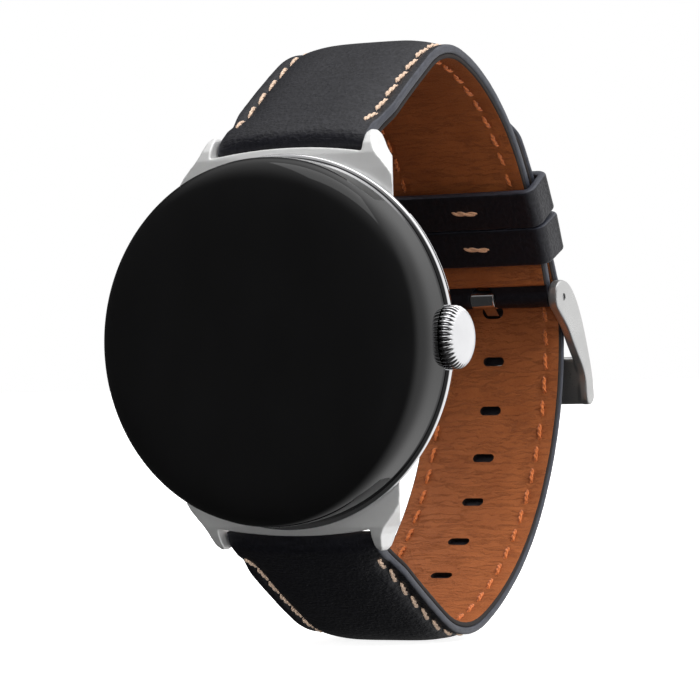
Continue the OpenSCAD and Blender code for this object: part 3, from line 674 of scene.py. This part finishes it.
class Strap:
    """One strap end: outer leather and lining as closed strips, bent along its curve."""

    def __init__(self, name, path, thick, lug_at, tip_at, hole_list, rows):
        self.name, self.path, self.h = name, path, thick / 2
        self.lug, self.tip, self.holes, self.rows = lug_at, tip_at, hole_list, rows
        self.seed = 3.0 if name == "buckle" else 11.0

    def half_width(self, s):
        """Just fits the lugs, flares outside them, narrows a little to the buckle, round free tip."""
        t = np.abs(s - self.lug)
        rise = np.clip((t - 2.0) / 4.5, 0, 1)
        fall = np.clip((t - 14.0) / 24.0, 0, 1)
        flare = 0.62 * rise ** 2 * (3 - 2 * rise) * (1 - fall ** 2 * (3 - 2 * fall))
        w = 9.25 + flare - 0.28 * np.clip((t - 34) / 20, 0, 1)
        if self.tip is not None:
            u = np.clip(1 - np.abs(s - self.tip) / 5.5, 0, 1)
            w = w * np.sqrt(np.clip(1 - (u * 0.86) ** 2.6, 0, 1))
        return w

    @property
    def out(self):
        return 1 if self.lug < 1 else -1

    def inward(self, s):
        """Distance from the lug bar along the strap; negative round the bar."""
        return (s - self.lug) * self.out

    def nose_at(self, s):
        t = np.clip((0.1 - self.inward(s)) / (NOSE + 0.1), 0, 1)
        return np.sqrt(np.clip(1 - t ** 2, 0.0, 1))

    def ripple(self, x, s):
        """Soft unevenness of real leather."""
        return (0.05 * noise.noise(Vector((x * 0.10, s * 0.22, self.seed)))
                + 0.022 * noise.noise(Vector((x * 0.35, s * 0.9, self.seed + 5))))

    def top(self, x, s):
        pad = swell(s, self.lug) * crown_of(x, self.inward(s))
        edge = 0.20 * math.exp(-((abs(x) - SEAM) / 0.45) ** 2)
        dent = 0.0
        for centre in self.rows:
            gap = abs(s - centre)
            if gap < 2.2:
                dent = max(dent, math.exp(-((gap - 1.42) / 0.28) ** 2)
                           * math.exp(-((abs(x) - SEAM) / 0.4) ** 2))
        fade = float(np.clip((self.inward(s) - 1.6) / 1.5, 0, 1))
        return (self.h + pad - (edge + 0.10 * dent) * fade + self.ripple(x, s) * fade) \
            * float(self.nose_at(s))

    def bottom_edge(self, s):
        """Depth of the leather's back face: flush behind the lining, whole round the bar."""
        t = float(np.clip((self.inward(s) - 1.45) / 0.25, 0, 1))
        return -(self.h * (1 - t) + (self.h - LINING_T) * t) * float(self.nose_at(s))

    def filling(self, x, s):
        """Height of the padding between the leather and the lining."""
        pad = float(swell(s, self.lug)) * float(
            np.clip((7.2 - abs(x)) / 1.2, 0, 1)) ** 0.8 * float(crown_of(x, self.inward(s)))
        return pad * float(np.clip((self.inward(s) - 2.2) / 2.0, 0, 1)) * 0.9

    def openings(self, size):
        """(place, size across, size along) of every opening in a layer."""
        if not self.holes:
            return []
        if self.name == "buckle":
            return self.holes       # the tang's slot at the end
        across, along_it, shift, tang = size
        return [(s + shift, across, along_it) for s in self.holes] + [tang]

    @staticmethod
    def rim(side, e, r, first, last, steps=5):
        """Round one edge at width e with radius r, between centres at heights first and last."""
        turns = [math.pi / 2 * k / steps for k in range(steps + 1)]
        return [(side * (e + r * math.sin(t)), first + side * r * math.cos(t)) for t in turns[1:]] \
            + [(side * (e + r * math.cos(t)), last - side * r * math.sin(t)) for t in turns]

    def strip(self, name, s_values, top, bottom, half, round_r, node_list, mats, cutters):
        """A closed strip: its section goes over the top, down the painted edge and back."""
        nx = 74
        loops = []
        for s in s_values:
            w = float(half(s))
            t0, b0 = top(w * 0.98, s), bottom(w * 0.98, s)
            r = max(min(round_r, 0.48 * (t0 - b0)), 0.02)
            e = w - r
            section = [(x, top(x, s)) for x in np.linspace(-e, e, nx)]
            section += self.rim(1, e, r, top(e, s) - r, bottom(e, s) + r)
            section += [(x, bottom(x, s)) for x in np.linspace(e, -e, nx)[1:]]
            section += self.rim(-1, e, r, bottom(-e, s) + r, top(-e, s) - r)[:-1]
            loops += [(x, s, off) for x, off in section]
        size = len(section)
        faces = loops_to_faces(len(s_values), size)
        flat = temp_object(np.array(loops) * MM, faces, name)
        if cutters:
            cut(flat, cutters)
        co = np.zeros(len(flat.data.vertices) * 3)
        flat.data.vertices.foreach_get("co", co)
        co = co.reshape(-1, 3) / MM
        polys = [tuple(p.vertices) for p in flat.data.polygons]
        normal = np.zeros(len(polys) * 3)
        flat.data.polygons.foreach_get("normal", normal)
        centre = np.array([co[list(p)].mean(0) for p in polys])
        side = np.abs(centre[:, 0]) > np.array([half(s) for s in centre[:, 1]]) - round_r * 0.62
        bpy.data.objects.remove(flat)
        slit = np.zeros(len(polys), bool)
        for s0, across, _ in self.openings(LINING_HOLE):
            slit |= (np.abs(centre[:, 1] - s0) < across / 2 + 0.05) \
                & (np.abs(centre[:, 0]) < across / 2 + 0.05) \
                & (np.abs(normal.reshape(-1, 3)[:, 2]) < 0.35)
        index = np.where(side | slit, 1, 0)
        bent = place(self.path.bend(co))
        return make(name, bent, polys, mats, "watch", node_list, index, co, crease=38)

    def hole_cutters(self, size):
        made = []
        for s0, across, wide in self.openings(size):
            ring = []
            for t in np.linspace(0, 2 * math.pi, 32, endpoint=False):
                c = math.cos(t)
                ring.append(((across - wide) / 2 * (1 if c >= 0 else -1) + wide / 2 * c,
                             wide / 2 * math.sin(t)))
            points = [(x * MM, (s0 + y) * MM, z * MM) for z in (-3, 3) for x, y in ring]
            made.append(temp_object(points, loops_to_faces(2, 32)))
        return made

    def build(self):
        n = self.name
        s0, s1 = (-NOSE, self.path.length) if self.out > 0 else (0.0, self.path.length + NOSE)
        if n == "tail":
            ends = [0.0, 0.05, 0.15, 0.3, 0.5, 0.75, 1.0, 1.3]
            s_values = ends + list(np.arange(1.65, s1 - 1.2, 0.36)) \
                + [s1 - 1.0, s1 - 0.6, s1 - 0.3, s1 - 0.12, s1 - 0.02]
        else:
            s_values = [s0 + 0.02, s0 + 0.12, s0 + 0.3, s0 + 0.6, s0 + 1.0] \
                + list(np.arange(s0 + 1.35, s1 - 0.3, 0.36)) + [s1]

        def tip_round(s):
            if self.tip is None:
                return 1.0
            t = float(np.clip(1 - abs(s - self.tip) / 0.55, 0, 1))
            return math.sqrt(max(0.02, 1 - t ** 2))

        def top(x, s):
            return self.top(x, s) * tip_round(s)

        def bottom(x, s):
            return self.bottom_edge(s) + self.filling(x, s)

        self.strip(n + "_strap_top", s_values, top, bottom, self.half_width, 0.34,
                   [n + "_strap_leather"], ["leather", "edge"],
                   self.hole_cutters(OUTER_HOLE))

        lug_start = self.lug + 1.5 * self.out
        if n == "buckle":
            lo, hi = lug_start, LINING_END
        else:
            lo, hi = 0.12, lug_start
        ends = np.array([0.0, 0.05, 0.14, 0.3, 0.5])
        s_lining = list(lo + ends) + list(np.arange(lo + 0.8, hi - 0.7, 0.36)) \
            + list(hi - ends[::-1])

        def ends_round(s):
            t = float(np.clip(1 - min(s - lo, hi - s) / 0.3, 0, 1))
            return math.sqrt(max(0.03, 1 - t ** 2))

        def lining_top(x, s):
            return -(self.h - LINING_T) + 0.03

        def lining_bottom(x, s):
            seam = 0.09 * math.exp(-((abs(x) - LINING_SEAM) / 0.4) ** 2)
            creases = 0.020 * noise.noise(Vector((x * 0.22, s * 1.1, self.seed + 9)))
            return -(self.h - LINING_T) - (LINING_T - seam) * ends_round(s) + creases

        self.strip(n + "_strap_back", s_lining, lining_top, lining_bottom,
                   lambda s: self.half_width(s) - 0.10, 0.22, [n + "_strap_lining"],
                   ["lining", "dark_cut"],
                   self.hole_cutters(LINING_HOLE))
        self.padding()

    def padding(self):
        """Felt filler between leather and lining near the lugs."""
        values = [self.lug + self.out * v for v in np.linspace(2.4, PAD_LEN - 1.5, 40)]
        loops = []
        for s in values:
            section = []
            for x in np.linspace(-6.9, 6.9, 30):
                section.append((x, -(self.h - LINING_T) + 0.02 + self.filling(x, s) * 0.96))
            for x in np.linspace(6.9, -6.9, 30):
                section.append((x, -(self.h - LINING_T) + 0.005))
            loops += [(x, s, off) for x, off in section]
        make(self.name + "_strap_filler", place(self.path.bend(loops)),
             loops_to_faces(len(values), 60), ["felt"], "watch",
             [self.name + "_strap_padding"], crease=40)


TAIL_LEN = tail_path.length
hole_list = [FIRST_HOLE + i * HOLE_PITCH for i in range(1, HOLE_COUNT)]
buckle_rows = [3.2 + PITCH * i for i in range(19)]
tail_rows = [TAIL_LEN - 3.2 - PITCH * i for i in range(33)]
tang_slot = [(buckle_path.length, 3.3, 3.3)]
buckle_strap = Strap("buckle", buckle_path, STRAP_T, 0.0, None, tang_slot, buckle_rows)
tail_strap = Strap("tail", tail_path, TAIL_T, TAIL_LEN, 0.0, hole_list, tail_rows)


# ---------------------------------------------------------------- stitches
def strand_points(line, radius, turns, phase, across, out):
    """One strand of a two-ply thread wound round a centre line of flat points."""
    ring, steps = 7, len(line)
    points = []
    for i, c in enumerate(line):
        t = i / (steps - 1)
        taper = min(1.0, 4.5 * min(t, 1 - t) + 0.35)
        a = phase + turns * 2 * math.pi * t
        centre = np.array(c) + radius * 0.62 * (math.cos(a) * across + math.sin(a) * out)
        for k in range(ring):
            b = 2 * math.pi * k / ring
            points.append(centre + radius * taper * (math.cos(b) * across + math.sin(b) * out))
    return points, loops_to_faces(steps, ring)


def two_ply(points, faces, line, radius, turns, phase, across):
    """Adds both strands of a stitch to lists of points and faces."""
    for start in (phase, phase + math.pi):
        p, f = strand_points(line, radius, turns, start, np.array(across), np.array([0, 0, 1.0]))
        faces += [tuple(i + len(points) for i in face) for face in f]
        points += p


def stitches(name, path, places, surface, side, material, body="watch",
             length=2.75, radius=0.17, slant=0.5, lift=0.15):
    """Stitches centred at flat (x, s) places, lying on surface(x, s); side is 1 out, -1 in."""
    points, faces = [], []
    steps = 15
    for x0, s0, direction in places:
        line = []
        for i in range(steps):
            t = i / (steps - 1)
            x = x0 + slant * direction * (t - 0.5)
            s = s0 + length * (t - 0.5)
            bow = math.sin(math.pi * t) ** 0.55
            off = surface(x, s) + side * (lift * bow - 0.26 * (1 - bow))
            line.append((x, s, off))
        two_ply(points, faces, line, radius, 1.6 * direction, 0.4, (1.0, 0, 0))
    return make(name, place(path.bend(points)), faces, [material], body, (), None, points,
                crease=0)


def build_stitches():
    for strap in (buckle_strap, tail_strap):
        places = [(side * SEAM, s, side) for s in strap.rows for side in (1, -1)
                  if strap.tip is None or s > 4.0]
        stitches(strap.name + "_top_stitches", strap.path, places,
                 lambda x, s, k=strap: k.top(x, s), 1, "cream")
        places = [(side * LINING_SEAM, s + 0.15, side) for s in strap.rows for side in (1, -1)
                  if (strap.tip is None or s > 4.0) and (strap.name == "tail" or s < 60)]
        stitches(strap.name + "_lining_stitches", strap.path, places,
                 lambda x, s, k=strap: -k.h + (0.21 if k.name == "buckle" and s > 45 else 0.05),
                 -1, "orange",
                 length=2.3, radius=0.165, slant=0.22, lift=0.16)


# ---------------------------------------------------------------- keepers
def rounded(half_a, half_b, radius, steps):
    """Points and outward normals round a rectangle with rounded corners."""
    out = []
    for a, b, start in ((1, 1, 0), (-1, 1, 90), (-1, -1, 180), (1, -1, 270)):
        for t in np.linspace(start, start + 90, steps):
            n = np.array([math.cos(math.radians(t)), math.sin(math.radians(t))])
            out.append(((a * (half_a - radius), b * (half_b - radius)) + radius * n, n))
    return out


def keeper(name):
    """Leather loop with rounded painted edges, sewn across its back with one stitch."""
    s0, lo, hi, body = KEEPERS[name]
    (centre,), (h,) = buckle_path.at(s0)[0], buckle_path.at(s0)[1]
    mid, half_h = (lo + hi) / 2, (hi - lo) / 2 + KEEPER_T / 2
    half_w, corner = KEEPER_W / 2 + KEEPER_T / 2, 0.95
    ring = rounded(half_w, half_h, corner, 9)
    # the long runs get points of their own, slightly bowed away from the straps
    full = []
    for i, (p, n) in enumerate(ring):
        full.append((p, n))
        q, m = ring[(i + 1) % len(ring)]
        gap = np.linalg.norm(q - p)
        if gap > 1:
            k = int(gap / 0.4)
            for j in range(1, k):
                u = j / k
                bow = 0.16 * math.sin(math.pi * u) if gap > 8 else 0.0
                full.append((p + (q - p) * u + n * bow * (1 if n[1] > 0 else 0.35), n))
    hw = KEEPER_L / 2
    section = [p for p, _ in rounded(hw, KEEPER_T / 2, 0.38, 6)]
    wide = []
    for i, p in enumerate(section):
        wide.append(p)
        q = section[(i + 1) % len(section)]
        if abs(q[0] - p[0]) > 1:
            for u in np.linspace(0, 1, 14)[1:-1]:
                wide.append((p[0] + (q[0] - p[0]) * u, p[1]))
    local, flat, run = [], [], 0.0
    for i, (p, n) in enumerate(full):
        run += np.linalg.norm(p - full[i - 1][0]) if i else 0
        for a, b in wide:
            uneven = 0.03 * noise.noise(Vector((run * 0.3, a * 0.5, s0)))
            q = p + n * (b + uneven)
            local.append((q[0], a, q[1] + mid))
            flat.append((a, run, b))
    faces, size, loops = [], len(wide), len(full)
    for i in range(loops):
        k = (i + 1) % loops
        for j in range(size):
            m = (j + 1) % size
            faces.append((i * size + j, i * size + m, k * size + m, k * size + j))
    index = [1 if min(abs(flat[f[0]][0]), abs(flat[f[2]][0])) > hw - 0.2 else 0 for f in faces]

    def put(points):
        """Keeper points (x, along the strap, out of it) to the row frame."""
        q = np.array(points)
        t = np.array([math.cos(math.radians(h)), math.sin(math.radians(h))])
        return place(np.column_stack([q[:, 0], centre + q[:, 1:2] * t + q[:, 2:3] * left(h)]))

    make(name + "_loop", put(local), faces, ["leather", "edge"], body, [name],
         index, flat, crease=40)
    # one stitch across the inner face
    x0 = 1.2 if name == "fixed_keeper" else 0.9
    inner = lo - KEEPER_T
    points, faces, steps = [], [], 21
    line = []
    for i in range(steps):
        u = i / (steps - 1)
        bow = math.sin(math.pi * u) ** 0.4
        line.append((x0 + 3.7 * (u - 0.5), 0.25 * (u - 0.5), inner - 0.12 * bow + 0.3 * (1 - bow)))
    two_ply(points, faces, line, 0.19, 1.2, 0.2, (0, 1.0, 0))
    make(name + "_stitch", put(points), faces, ["copper_thread"], body, (), None,
         points, crease=0)


# ---------------------------------------------------------------- buckle
def catmull(points, steps=6):
    """A smooth closed curve through points."""
    p = np.array(points, float)
    n, out = len(p), []
    for i in range(n):
        a, b, c, d = p[i - 1], p[i], p[(i + 1) % n], p[(i + 2) % n]
        for k in range(steps):
            t = k / steps
            out.append(0.5 * ((2 * b) + (c - a) * t + (2 * a - 5 * b + 4 * c - d) * t ** 2
                              + (3 * b - a - 3 * c + d) * t ** 3))
    return np.array(out)


def bevelled_slab(outline, x0, x1, bevel, steps=4):
    """A slab across X from a (d, z) outline, its two rims rounded."""
    outline = np.array(outline)
    centre_dir = np.roll(outline, -1, 0) - np.roll(outline, 1, 0)
    normal = np.stack([centre_dir[:, 1], -centre_dir[:, 0]], 1)
    normal /= np.linalg.norm(normal, axis=1)[:, None]
    area = 0.5 * np.sum(outline[:, 0] * np.roll(outline[:, 1], -1)
                        - np.roll(outline[:, 0], -1) * outline[:, 1])
    if area < 0:
        normal = -normal
    profile = [(x0 + bevel * (1 - math.cos(t)), bevel * (1 - math.sin(t)))
               for t in np.linspace(0, math.pi / 2, steps + 1)]
    profile += [(x1 - bevel * (1 - math.cos(t)), bevel * (1 - math.sin(t)))
                for t in np.linspace(math.pi / 2, 0, steps + 1)]
    points = []
    for x, inset in profile:
        ring = outline - normal * inset
        points += [(x, d, z) for d, z in ring]
    return points, loops_to_faces(len(profile), len(outline))


ARM_OUTLINE = [(51.3, 7.15), (52.9, 7.0), (54.2, 6.35), (55.8, 4.75), (57.4, 2.2), (58.9, -1.2),
               (59.9, -4.0), (60.45, -6.6), (60.25, -7.6), (59.4, -8.1), (58.5, -7.7),
               (58.2, -6.6), (58.0, -5.0), (57.2, -3.4), (56.0, -2.0), (54.5, -0.3),
               (53.3, 1.2), (52.1, 2.3), (50.9, 3.2), (49.9, 4.1), (49.7, 5.3), (50.2, 6.5)]
PLATE_OUTLINE = [(57.9, -2.2), (58.5, -2.5), (59.1, -4.0), (59.8, -6.0), (60.2, -7.3),
                 (59.7, -8.0), (58.9, -7.8), (58.5, -6.6), (57.9, -4.8), (57.4, -3.2),
                 (57.35, -2.5)]


def buckle():
    parts = []
    for side in (1, -1):
        x0, x1 = sorted((side * 9.25, side * 10.5))
        points, faces = bevelled_slab(catmull(ARM_OUTLINE, 4), x0, x1, 0.3)
        parts.append(temp_object(place(points), faces, "arm"))
    points, faces = bevelled_slab(catmull(PLATE_OUTLINE, 4), -9.9, 9.9, 0.1)
    plate = temp_object(place(points), faces, "plate")
    cut(plate, [box((-1.3, 1.3), (56, 60), (-3.0, -1.0))])      # notch for the tang
    parts.append(plate)
    obj = melt("buckle_cast", parts, 0.11, 5, "buckle", "buckle_frame",
               ["buckle_frame"])
    for p in parts:
        bpy.data.objects.remove(p)
    # pivot holes for the bar
    cut(obj, [rod((-12, *BUCKLE_BAR), (12, *BUCKLE_BAR), 0.45, 32)])
    shade(obj, 40)


def roll():
    """Leather turned round the buckle bar on both sides of the tang."""
    for name, x0, x1 in (("buckle_roll_right", 1.68, 8.72), ("buckle_roll_left", -8.72, -1.68)):
        size, loops, flat, index = 40, [], [], []
        edge = 0.18
        xs = [x0, x0 + 0.03, x0 + 0.09, x0 + edge] + list(np.linspace(x0 + 0.5, x1 - 0.5, 30)) \
            + [x1 - edge, x1 - 0.09, x1 - 0.03, x1]
        for x in xs:
            e = min(x - x0, x1 - x)
            shrink = 1 - 0.16 * (1 - math.sqrt(max(0, 1 - (1 - min(1, e / edge)) ** 2)))
            for k in range(size):
                a = 2 * math.pi * k / size
                uneven = 0.025 * noise.noise(Vector((x * 0.4, math.cos(a), math.sin(a))))
                r = (1.17 + uneven) * shrink
                loops.append((x, BUCKLE_BAR[0] + r * math.cos(a), BUCKLE_BAR[1] + r * math.sin(a)))
                flat.append((x, 60 + a * 1.17, r))
        faces = loops_to_faces(len(xs), size)
        make(name, place(loops), faces, ["leather"], "watch", (), None, flat,
             crease=50)


# ---------------------------------------------------------------- build everything
cover_glass()
case_shell()
back_parts()
crown()
buckle_strap.build()
tail_strap.build()
build_stitches()
for keeper_name in KEEPERS:
    keeper(keeper_name)
buckle()
roll()
melt("tang_pin", [nodes["tang"]], 0.07, 4, "polished", "tang", ["tang"])
melt("side_key", [nodes["side_button"]], 0.06, 4, "polished", "side_button",
     ["side_button"])
for which in ("upper", "lower"):
    melt(which + "_lug_piece", [nodes[which + "_adapter"]], 0.10, 9, "satin", "watch",
         [which + "_adapter"])

# ---------------------------------------------------------------- stage, light and camera
low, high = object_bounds()
floor_mesh = bpy.data.meshes.new("floor")
floor_mesh.from_pydata([(x, y, low.z) for x, y in ((-6, -6), (6, -6), (6, 6), (-6, 6))], [],
                       [(0, 1, 2, 3)])
floor = add_object("floor", floor_mesh)
paper = Shader("paper")
paper.set(base_color=paper.mix(paper.ramp(paper.noise(0.02), 0.3, 0.7), (0.86, 0.86, 0.86),
                               (0.88, 0.88, 0.88)), roughness=0.9, specular_ior_level=0.1,
          emission_color=(1, 1, 1, 1), emission_strength=0.86)
floor_mesh.materials.append(paper.material)
floor.visible_glossy = floor.visible_diffuse = floor.visible_transmission = False

world = bpy.data.worlds.new("studio")
bpy.context.scene.world = world
world.use_nodes = True
tree = world.node_tree
background = tree.nodes["Background"]
direction = tree.nodes.new("ShaderNodeTexCoord")
split = tree.nodes.new("ShaderNodeSeparateXYZ")
tree.links.new(direction.outputs["Generated"], split.inputs[0])


def world_node(n, values):
    """Fills a node's inputs in order and returns its first output."""
    for socket, v in zip(n.inputs, values):
        if isinstance(v, bpy.types.NodeSocket):
            tree.links.new(v, socket)
        else:
            socket.default_value = v
    return n.outputs[0]


def world_math(operation, a, b):
    n = tree.nodes.new("ShaderNodeMath")
    n.operation = operation
    return world_node(n, (a, b))


def world_ramp(value, low, high, to_low, to_high):
    n = tree.nodes.new("ShaderNodeMapRange")
    n.interpolation_type = "SMOOTHSTEP"
    return world_node(n, (value, low, high, to_low, to_high))


# the studio is dark in front of the display and pale behind the watch, at its right and above
facing = world_math("ADD", world_math("MULTIPLY", split.outputs["X"], 0.80),
                    world_math("MULTIPLY", split.outputs["Y"], 0.60))
lit = world_ramp(facing, 0.0, 0.80, 0.03, 1.1)
above = world_ramp(split.outputs["Z"], 0.45, 0.95, 0.0, 0.8)
shown = tree.nodes.new("ShaderNodeLightPath")
strength = tree.nodes.new("ShaderNodeMix")
tree.links.new(shown.outputs["Is Camera Ray"], strength.inputs[0])
tree.links.new(world_math("ADD", lit, above), strength.inputs[2])
strength.inputs[3].default_value = 1.0      # the white seen behind the watch
tree.links.new(strength.outputs[0], background.inputs["Strength"])
background.inputs["Color"].default_value = (1, 1, 1, 1)


def softbox(name, azimuth, elevation, distance, size, watts, aim=(0, 0.02, 0), glossy=False):
    """A square softbox; azimuth 0 stands on the display's side and 90 on the crown's."""
    a, e = math.radians(azimuth), math.radians(elevation)
    light = bpy.data.lights.new(name, "AREA")
    light.shape, light.size, light.size_y, light.energy = "RECTANGLE", size[0], size[1], watts
    obj = add_object(name, light)
    obj.location = Vector(aim) + distance * Vector((math.sin(a) * math.cos(e),
                                                    -math.cos(a) * math.cos(e), math.sin(e)))
    obj.rotation_mode = "QUATERNION"
    obj.rotation_quaternion = (obj.location - Vector(aim)).to_track_quat("Z", "Y")
    obj.visible_glossy = glossy     # gloss mostly shows the even studio walls


softbox("key_light", 72, 40, 0.9, (0.5, 0.5), 3.4)
softbox("fill_light", -80, 15, 1.0, (0.6, 0.6), 2.4)
softbox("front_light", 10, 5, 1.2, (0.9, 0.9), 6.0)
softbox("low_light", 20, -14, 1.0, (0.9, 0.3), 6.5, (0, 0.02, -0.01))
softbox("back_light", 150, 40, 1.0, (0.5, 0.5), 2.4)
softbox("top_light", 20, 80, 1.0, (0.8, 0.8), 3.0, glossy=True)

CAMERA_AT = (172.10, -317.78, -3.47)       # mm in the row frame
CAMERA_AIM = (6.442, -3.718, -1.032)
CAMERA_ROLL = 1.31
LENS = 167.93
camera_data = bpy.data.cameras.new("camera")
camera_data.lens, camera_data.sensor_width = LENS, 36
camera_data.clip_start, camera_data.clip_end = 0.01, 50
camera = add_object("camera", camera_data)
back = (Vector(CAMERA_AT) - Vector(CAMERA_AIM)).normalized()
right = Vector((0, 0, 1)).cross(back).normalized()
up = back.cross(right)
turn = math.radians(CAMERA_ROLL)
cam_right = right * math.cos(turn) - up * math.sin(turn)
cam_up = right * math.sin(turn) + up * math.cos(turn)
rotation = Matrix((cam_right, cam_up, back)).transposed().to_4x4()
camera.matrix_world = Matrix.Translation(Vector(CAMERA_AT) * MM) @ rotation
bpy.context.scene.camera = camera
bpy.context.scene.view_settings.view_transform = "Standard"

bpy.context.view_layer.update()
